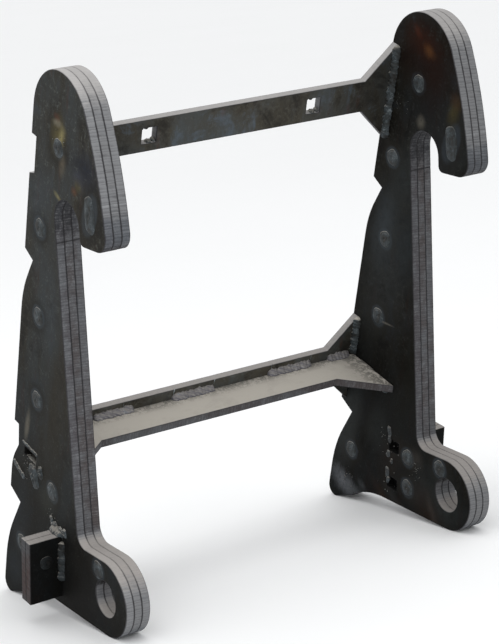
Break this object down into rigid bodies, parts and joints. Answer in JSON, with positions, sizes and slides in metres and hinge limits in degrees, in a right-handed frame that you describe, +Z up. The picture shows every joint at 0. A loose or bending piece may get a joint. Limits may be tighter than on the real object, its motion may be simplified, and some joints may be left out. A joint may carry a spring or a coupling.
{
  "type": "quick coupler frame",
  "caption": "Weld-on quick coupler frame: two laminated hook plates with lock pin eyes, tied by an upper bar and a lower cross member.",
  "frame": {"origin": "on the floor under the centre of the frame's bounding box, with the frame standing on its two feet and two lock pin eyes", "axes": "+X to the frame's right seen from behind the hooks' open side (left is -X), -Y towards the side the hooks and eyes face, +Z up; the straight rear welding edge leans forward from +Z by the standing angle"},
  "size_m": [0.698, 0.414, 0.7441],
  "materials": {
    "hook_plate_steel": "dark mill scale with rust tint, flame-cut edges",
    "bar_steel": "dark mill scale",
    "shelf_steel": "mill scale under dust",
    "stop_plate_steel": "mill scale, flame-cut",
    "weld_metal": "rippled weld bead"
  },
  "bodies": {
    "root": {"left_outer_plate": "hook_plate_steel", "left_middle_plate": "hook_plate_steel", "left_inner_plate": "hook_plate_steel", "right_inner_plate": "hook_plate_steel", "right_middle_plate": "hook_plate_steel", "right_outer_plate": "hook_plate_steel", "upper_cross_bar": "bar_steel", "lower_cross_web": "bar_steel", "lower_cross_shelf": "shelf_steel", "left_stop_front_plate": "stop_plate_steel", "left_stop_back_plate": "stop_plate_steel", "right_stop_front_plate": "stop_plate_steel", "right_stop_back_plate": "stop_plate_steel", "left_outer_plug_welds": "weld_metal", "left_inner_plug_welds": "weld_metal", "right_inner_plug_welds": "weld_metal", "right_outer_plug_welds": "weld_metal", "left_bar_weld": "weld_metal", "right_bar_weld": "weld_metal", "left_web_weld": "weld_metal", "right_web_weld": "weld_metal", "left_shelf_weld": "weld_metal", "right_shelf_weld": "weld_metal", "shelf_stitch_welds": "weld_metal", "left_stop_weld": "weld_metal", "right_stop_weld": "weld_metal", "left_tab_welds": "weld_metal", "right_tab_welds": "weld_metal"}
  },
  "joints": []
}
